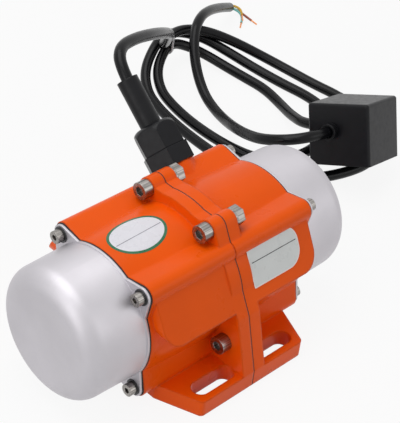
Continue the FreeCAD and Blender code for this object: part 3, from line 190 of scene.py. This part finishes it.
# ---------------------------------------------------------------- materials
ORANGE = (0.88, 0.102, 0.002)
MATERIALS = {
    "orange_paint": mottled("orange_paint", ORANGE, 0.04, 22, (0.26, 0.34),
                            ((140, 0.08, 0.2), (900, 0.02, 0.2)), rounding=1.6, Specular_IOR_Level=0.14),
    "silver_paint": mottled("silver_paint", (0.56, 0.54, 0.57), 0.04, 30, (0.46, 0.54),
                            ((2600, 0.015, 0.4), (60, 0.04, 0.1)), rounding=0.5, Metallic=0.8),
    "gasket_paper": mottled("gasket_paper", (0.012, 0.012, 0.012), 0.2, 200, (0.7, 0.9),
                            ((1500, 0.03, 0.4),)),
    "steel_fastener": knurled("steel_fastener", (0.36, 0.34, 0.32)),
    "dark_steel": mottled("dark_steel", (0.06, 0.06, 0.062), 0.2, 300, (0.32, 0.5),
                          ((1500, 0.02, 0.4),), rounding=0.2, Metallic=0.8),
    "lamination_steel": mottled("lamination_steel", (0.28, 0.28, 0.29), 0.15, 250, (0.35, 0.5),
                                ((900, 0.02, 0.4),), Metallic=0.9),
    "enamelled_copper": mottled("enamelled_copper", (0.42, 0.13, 0.04), 0.25, 260, (0.3, 0.45),
                                ((800, 0.10, 0.8),), Metallic=0.5),
    "cast_aluminium": mottled("cast_aluminium", (0.6, 0.6, 0.62), 0.08, 120, (0.35, 0.5),
                              ((700, 0.03, 0.5),), Metallic=1.0),
    "bearing_steel": mottled("bearing_steel", (0.62, 0.62, 0.62), 0.05, 200, (0.12, 0.2),
                             ((900, 0.01, 0.2),), Metallic=1.0),
    "weight_steel": mottled("weight_steel", (0.20, 0.20, 0.205), 0.2, 140, (0.4, 0.55),
                            ((600, 0.04, 0.5),), rounding=0.4, Metallic=0.9),
    "black_plastic": mottled("black_plastic", (0.0035, 0.0035, 0.005), 0.2, 150, (0.30, 0.40),
                             ((1800, 0.015, 0.4), (90, 0.04, 0.1)), rounding=0.9,
                             Specular_IOR_Level=0.2),
    "black_rubber": mottled("black_rubber", (0.005, 0.005, 0.0062), 0.2, 120, (0.34, 0.46),
                            ((1500, 0.02, 0.3), (110, 0.06, 0.12)), rounding=1.3,
                            Specular_IOR_Level=0.2),
    "cord_jacket": mottled("cord_jacket", (0.002, 0.002, 0.0028), 0.2, 90, (0.22, 0.30),
                           ((1300, 0.02, 0.3), (70, 0.05, 0.1)), rounding=0.8, Specular_IOR_Level=0.2),
    "potting_resin": mottled("potting_resin", (0.015, 0.015, 0.016), 0.2, 90, (0.2, 0.35),
                             ((120, 0.1, 0.3),)),
    "white_strap": mottled("white_strap", (0.78, 0.78, 0.79), 0.05, 200, (0.3, 0.4),
                           ((900, 0.02, 0.3),)),
    "core_yellow_green": mottled("core_yellow_green", (0.72, 0.42, 0.03), 0.15, 300, (0.3, 0.4),
                                 ((900, 0.01, 0.3),)),
    "core_blue": mottled("core_blue", (0.22, 0.62, 0.60), 0.1, 300, (0.3, 0.4), ((900, 0.01, 0.3),)),
    "core_brown": mottled("core_brown", (0.40, 0.10, 0.06), 0.1, 300, (0.3, 0.4), ((900, 0.01, 0.3),)),
    "bare_copper": mottled("bare_copper", (0.85, 0.36, 0.16), 0.15, 900, (0.25, 0.4),
                           ((2500, 0.03, 0.8),), Metallic=1.0),
    "label_face": mottled("label_face", (0.70, 0.72, 0.71), 0.02, 90, (0.26, 0.34), ((300, 0.01, 0.1),)),
    "label_edge": mottled("label_edge", (0.86, 0.80, 0.76), 0.02, 90, (0.3, 0.4), ((300, 0.01, 0.1),)),
    "label_ink": mottled("label_ink", (0.02, 0.025, 0.025), 0.1, 90, (0.3, 0.4), ((300, 0.01, 0.1),)),
    "oval_face": mottled("oval_face", (0.76, 0.75, 0.80), 0.02, 90, (0.24, 0.32), ((300, 0.01, 0.1),)),
    "oval_ring": mottled("oval_ring", (0.005, 0.14, 0.055), 0.1, 90, (0.24, 0.32), ((300, 0.01, 0.1),)),
    "oval_rule": mottled("oval_rule", (0.25, 0.25, 0.29), 0.1, 90, (0.3, 0.4), ((300, 0.01, 0.1),)),
}


def dress_nodes():
    """Give every CAD node the finish of its slot in the record."""
    for item in frame["record"]["subparts"]:
        node = NODES[item["node"]]
        node.data.materials.clear()
        node.data.materials.append(MATERIALS[item["material_slot"]])


dress_nodes()


# ---------------------------------------------------------------- labels
BARREL_RADIUS = 41.0
BARREL_END_RADIUS = 39.0
BODY_HALF = 57.5
RIM_LIFT = 0.08                   # the layers of a label lie one above the other
FACE_LIFT = 0.12
RULE_LIFT = 0.16
RULE_HALF = 0.22


def add_mesh(name, mesh, material):
    """Smooth piece of the motor's body with one material."""
    mesh.materials.append(MATERIALS[material])
    for face in mesh.polygons:
        face.use_smooth = True
    piece = bpy.data.objects.new(name, mesh)
    scene.collection.objects.link(piece)
    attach(piece, "motor_body")
    return piece


def filled_film(name, outline, place, material, rings=10):
    """Thin film bounded by an outline about its middle, laid on a surface by place(u, v)."""
    shell = bmesh.new()
    middle = shell.verts.new(place(0, 0))
    last = None
    for ring in range(1, rings + 1):
        share = ring / rings
        loop = [shell.verts.new(place(u * share, v * share)) for u, v in outline]
        count = len(loop)
        for item in range(count):
            after = (item + 1) % count
            if last:
                shell.faces.new((last[item], loop[item], loop[after], last[after]))
            else:
                shell.faces.new((middle, loop[item], loop[after]))
        last = loop
    mesh = bpy.data.meshes.new(name)
    shell.to_mesh(mesh)
    shell.free()
    return add_mesh(name, mesh, material)


def ellipse(half_length, half_width, count=72):
    """Outline of an oval about its middle."""
    angles = [2 * math.pi * item / count for item in range(count)]
    return [(half_length * math.cos(angle), half_width * math.sin(angle)) for angle in angles]


def bar(half_length, half_width):
    """Outline of a straight line with some width."""
    return [(-half_length, -half_width), (half_length, -half_width), (half_length, half_width),
            (-half_length, half_width)]


def on_barrel(middle_x, lift, aside=0.0):
    """Places (u, v) of a film in mm on the near half's barrel: u along the shaft, v round it."""
    def place(u, v):
        x = middle_x + u
        radius = BARREL_RADIUS + (BARREL_END_RADIUS - BARREL_RADIUS) * abs(x) / BODY_HALF + lift
        angle = (v + aside) / radius
        return Vector((x, -radius * math.sin(angle), SHAFT_HEIGHT + radius * math.cos(angle))) * MM
    return place


OVAL_X = -35.8
OVAL_LENGTH, OVAL_WIDTH = 34.8, 25.8
OVAL_BORDER = 1.5
OVAL_RULE = 1.3                   # how far the dividing line lies forward of the middle


def make_oval_label():
    """Blank white oval with a green rim on top of the near half."""
    half_length, half_width = OVAL_LENGTH / 2, OVAL_WIDTH / 2
    outer = ellipse(half_length, half_width)
    filled_film("oval_label_rim", outer, on_barrel(OVAL_X, RIM_LIFT), "oval_ring")
    inner = ellipse(half_length - OVAL_BORDER, half_width - OVAL_BORDER)
    filled_film("oval_label_face", inner, on_barrel(OVAL_X, FACE_LIFT), "oval_face")
    reach = half_length - OVAL_BORDER * 1.6
    rule = bar(reach, RULE_HALF)
    filled_film("oval_label_rule", rule, on_barrel(OVAL_X, RULE_LIFT, OVAL_RULE), "oval_rule", rings=2)


PANEL_FOOT = (46.59, 53.0)        # a line of the slanted panel face: distance out, height
PANEL_LEAN = math.atan2(0.449, 0.893)
PLATE_START, PLATE_END = 8.1, 44.8
PLATE_LOW, PLATE_HIGH = 0.7, 24.0
PLATE_CORNER = 9.6
PLATE_RULE = 2.2                  # how far the ruled line lies above the middle
PLATE_BORDER = 0.8
PLATE_MARGIN = 1.8


def on_panel(middle, lift):
    """Places (u, v) of a film on the far half's front panel: u along the shaft, v up the face."""
    def place(u, v):
        out, up = math.cos(PANEL_LEAN), math.sin(PANEL_LEAN)
        run = middle[1] + v
        distance = PANEL_FOOT[0] - run * up + lift * out
        return Vector((middle[0] + u, -distance, PANEL_FOOT[1] + run * out + lift * up)) * MM
    return place


def half_round_plate(half_length, half_height, corner, square=0.8, steps=10):
    """Outline with nearly square corners at the left and large round ones at the right."""
    outline = []
    for u_sign, v_sign, radius in ((1, -1, corner), (1, 1, corner), (-1, 1, square), (-1, -1, square)):
        middle = (u_sign * (half_length - radius), v_sign * (half_height - radius))
        first = {(1, -1): -90, (1, 1): 0, (-1, 1): 90, (-1, -1): 180}[(u_sign, v_sign)]
        for step in range(steps + 1):
            angle = math.radians(first + 90 * step / steps)
            outline.append((middle[0] + radius * math.cos(angle), middle[1] + radius * math.sin(angle)))
    return outline


def make_nameplate():
    """Blank metal-foil plate with a pale edge and one ruled line on the far half's panel."""
    half_length = (PLATE_END - PLATE_START) / 2
    half_height = (PLATE_HIGH - PLATE_LOW) / 2
    middle = (PLATE_START + half_length, PLATE_LOW + half_height)
    edge = half_round_plate(half_length, half_height, PLATE_CORNER)
    filled_film("nameplate_edge", edge, on_panel(middle, RIM_LIFT), "label_edge")
    face = half_round_plate(half_length - PLATE_BORDER, half_height - PLATE_BORDER,
                            PLATE_CORNER - PLATE_BORDER, 0.3)
    filled_film("nameplate_face", face, on_panel(middle, FACE_LIFT), "label_face")
    rule = bar(half_length - PLATE_MARGIN, RULE_HALF)
    rule_middle = (middle[0], middle[1] + PLATE_RULE)
    filled_film("nameplate_rule", rule, on_panel(rule_middle, RULE_LIFT), "label_ink", rings=2)


make_oval_label()
make_nameplate()


# ---------------------------------------------------------------- cords
GLAND_X = 26.0
GLAND_ELEVATION = math.radians(40)


def gland_point(distance):
    """Point on the gland's axis, in mm, at a distance from the shaft axis."""
    rise = distance * math.sin(GLAND_ELEVATION)
    return (GLAND_X, distance * math.cos(GLAND_ELEVATION), SHAFT_HEIGHT + rise)


STRAND = 3.6                      # height of a cord that lies on the floor
MOTOR_CORD = [
    gland_point(94), gland_point(112), (34, 96, 119.5), (52, 103, 115.5),
    (74, 111.5, 106.5), (97, 124.5, 93), (119, 141.5, 76.5), (139, 161, 58.5), (154.5, 179, 38.5),
    (168.64, 194.37, 25.5), (183.36, 200.63, 25.5), (197, 200, 24.5), (210, 190.5, 22),
    (222, 176, 16.5), (232, 158, 10.5),
    (239.5, 138, 6), (244, 118, STRAND), (247, 98, STRAND), (246, 76, STRAND), (238, 54, STRAND),
    (222, 38, STRAND), (201, 31.5, STRAND), (179, 35, STRAND), (158, 44, STRAND),
    (141, 58, STRAND), (131, 76, STRAND), (128.5, 96, STRAND), (129, 118, STRAND),
    (131, 140, STRAND), (135, 161, STRAND), (140.5, 178, 5), (150, 192, 12),
    (166.21, 200.08, 21.4), (180.94, 206.33, 21.4), (196, 207, 19), (209, 195, 15.5),
    (216.5, 175.5, 10), (221.5, 154, 6),
    (226, 132, STRAND), (229, 110, STRAND), (226.5, 90, STRAND), (214, 75, STRAND),
    (196, 67, STRAND), (176, 64.5, STRAND), (158, 69, STRAND), (146.5, 81, STRAND),
    (142, 98, STRAND), (140.5, 118, STRAND), (141.5, 138, STRAND), (145, 158, STRAND),
    (149.5, 174, 4.5), (156.5, 186.5, 11), (168.64, 194.37, 17.3), (183.36, 200.63, 17.3),
    (196, 197, 12), (204, 185, 7.5), (208, 169, 4.5), (210, 152, STRAND), (211, 134, STRAND),
    (206, 114, STRAND), (197, 96.5, 8), (186.49, 74.24, 16.78), (192.5, 54.44, 24.26),
]
SUPPLY_CORD = [
    (174.56, 42.29, 36.19), (155.74, 38.78, 42.01), (139.5, 46.5, 40.5), (133, 64.5, 33),
    (138.5, 83, 24), (147, 101.5, 15.5), (156.5, 119, 7.8), (164, 136, 3.9), (169, 151, 5.5),
    (174, 164, 12.5), (180, 175.5, 22.5), (189, 185.5, 32.5), (202, 193.5, 35.5),
    (217.5, 201, 31.5), (233.5, 208.5, 24.5), (249.5, 216, 16.5), (264.5, 223.5, 8),
]
CORES = {
    "yellow_green": [(265.02, 223.75, 9), (267.5, 224.95, 7.7), (270.5, 223.9, 6.9),
                     (271.8, 220.7, 6.4), (270.9, 216.7, 5.8), (267.9, 213.1, 5.1)],
    "blue": [(264.75, 222.53, 7.45), (267.14, 223.69, 6.05), (269.86, 222.57, 4.83),
             (271, 219.5, 4), (270.2, 215.7, 3.2), (267.2, 211.9, 2.4), (263.5, 209, 2)],
    "brown": [(263.87, 224.3, 7.47), (267.46, 226.03, 5.37), (271.1, 225.6, 3.7),
              (273.3, 221.8, 2.9), (273, 214.9, 2.3), (272.2, 207, 2.1)],
}


def smooth_tube(name, points, diameter, material, sides=6):
    """Round tube on a NURBS spline through the route, in mm."""
    data = bpy.data.curves.new(name, "CURVE")
    data.dimensions = "3D"
    spline = data.splines.new("NURBS")
    spline.points.add(len(points) - 1)
    for target, point in zip(spline.points, points):
        target.co = (*(value * MM for value in point), 1)
    spline.order_u = 3
    spline.use_endpoint_u = True
    spline.resolution_u = 8
    data.resolution_u = 8
    data.bevel_depth = diameter / 2 * MM
    data.bevel_resolution = sides
    data.use_fill_caps = True
    data.materials.append(material)
    piece = bpy.data.objects.new(name, data)
    scene.collection.objects.link(piece)
    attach(piece, "motor_body")
    return piece


def spline_length(piece):
    """Length of a curve's own line, in metres."""
    bare = piece.data.copy()
    bare.bevel_depth = 0
    bare.use_fill_caps = False
    probe = bpy.data.objects.new("probe", bare)
    mesh = bpy.data.meshes.new_from_object(probe)
    points = [vertex.co for vertex in mesh.vertices]
    length = sum((b - a).length for a, b in zip(points, points[1:]))
    bpy.data.objects.remove(probe)
    bpy.data.curves.remove(bare)
    bpy.data.meshes.remove(mesh)
    return length


CORD_DIAMETER = 7.0
CORE_DIAMETER = 1.8


def make_cords():
    """The two cords and the stripped cores, on the same points as their CAD tubes."""
    jacket = MATERIALS["cord_jacket"]
    for name, points in CORES.items():
        core = smooth_tube("core_" + name + "_wire", points, CORE_DIAMETER, MATERIALS["core_" + name], 3)
        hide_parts("core_" + name)
    lead = smooth_tube("motor_lead", MOTOR_CORD, CORD_DIAMETER, jacket)
    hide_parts("motor_cord")
    spline_length(lead)
    supply = smooth_tube("supply_lead", SUPPLY_CORD, CORD_DIAMETER, jacket)
    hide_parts("supply_cord")
    spline_length(supply)


make_cords()


# ---------------------------------------------------------------- studio
def seen_directly(nodes, links):
    """1 for camera, glossy and transmission rays, so that the white shows in metal too."""
    rays = nodes.new("ShaderNodeLightPath")
    total = rays.outputs["Is Camera Ray"]
    for name in ("Is Glossy Ray", "Is Transmission Ray"):
        either = nodes.new("ShaderNodeMath")
        either.operation = "MAXIMUM"
        links.new(total, either.inputs[0])
        links.new(rays.outputs[name], either.inputs[1])
        total = either.outputs["Value"]
    return total


def make_floor():
    """Plain pale floor that stays white to the camera and keeps the object's shadow."""
    bpy.ops.mesh.primitive_plane_add(size=12, location=(0, 0, -0.0002))
    floor = bpy.context.object
    floor.name = "studio_floor"
    shading = Shading("floor_paper")
    nodes, links = shading.nodes, shading.links
    shading.set(Roughness=0.9, Specular_IOR_Level=0.1)
    tint = shading.noise(3, detail=2)
    shading.colour(shading.blend(tint, (0.68, 0.68, 0.68), (0.72, 0.72, 0.72)))
    glow = nodes.new("ShaderNodeEmission")
    glow.inputs["Color"].default_value = (1, 1, 1, 1)
    glow.inputs["Strength"].default_value = 1.0
    share = nodes.new("ShaderNodeMath")
    share.operation = "MULTIPLY"
    share.inputs[1].default_value = 0.9
    links.new(seen_directly(nodes, links), share.inputs[0])
    mix = nodes.new("ShaderNodeMixShader")
    links.new(share.outputs["Value"], mix.inputs["Fac"])
    links.new(shading.shader.outputs["BSDF"], mix.inputs[1])
    links.new(glow.outputs["Emission"], mix.inputs[2])
    links.new(mix.outputs["Shader"], nodes["Material Output"].inputs["Surface"])
    floor.data.materials.append(shading.material)


def make_world():
    """Soft even light, and plain white where the background is seen."""
    world = bpy.data.worlds.new("studio")
    scene.world = world
    world.use_nodes = True
    nodes, links = world.node_tree.nodes, world.node_tree.links
    soft = nodes["Background"]
    soft.inputs["Color"].default_value = (1, 1, 1, 1)
    soft.inputs["Strength"].default_value = 0.4
    white = nodes.new("ShaderNodeBackground")
    white.inputs["Color"].default_value = (1, 1, 1, 1)
    white.inputs["Strength"].default_value = 1.0
    mix = nodes.new("ShaderNodeMixShader")
    links.new(seen_directly(nodes, links), mix.inputs["Fac"])
    links.new(soft.outputs["Background"], mix.inputs[1])
    links.new(white.outputs["Background"], mix.inputs[2])
    links.new(mix.outputs["Shader"], nodes["World Output"].inputs["Surface"])


def add_lamp(name, place, target, power, size):
    """Rectangular softbox that faces a target."""
    data = bpy.data.lights.new(name, "AREA")
    data.shape = "RECTANGLE"
    data.size, data.size_y = size
    data.energy = power
    lamp = bpy.data.objects.new(name, data)
    scene.collection.objects.link(lamp)
    lamp.location = place
    aim = Vector(target) - Vector(place)
    lamp.rotation_euler = aim.to_track_quat("-Z", "Y").to_euler()


TARGET = (0.08, 0.05, 0.04)


def make_lights():
    add_lamp("top_softbox", (-0.1, 0.35, 1.2), TARGET, 7.8, (1.2, 0.9))
    add_lamp("left_softbox", (-1.2, 0.0, 0.6), TARGET, 3.9, (0.6, 1.1))
    add_lamp("right_softbox", (0.6, -1.1, 0.6), TARGET, 1.6, (0.8, 0.6))


make_floor()
make_world()
make_lights()
scene.view_settings.view_transform = "Standard"
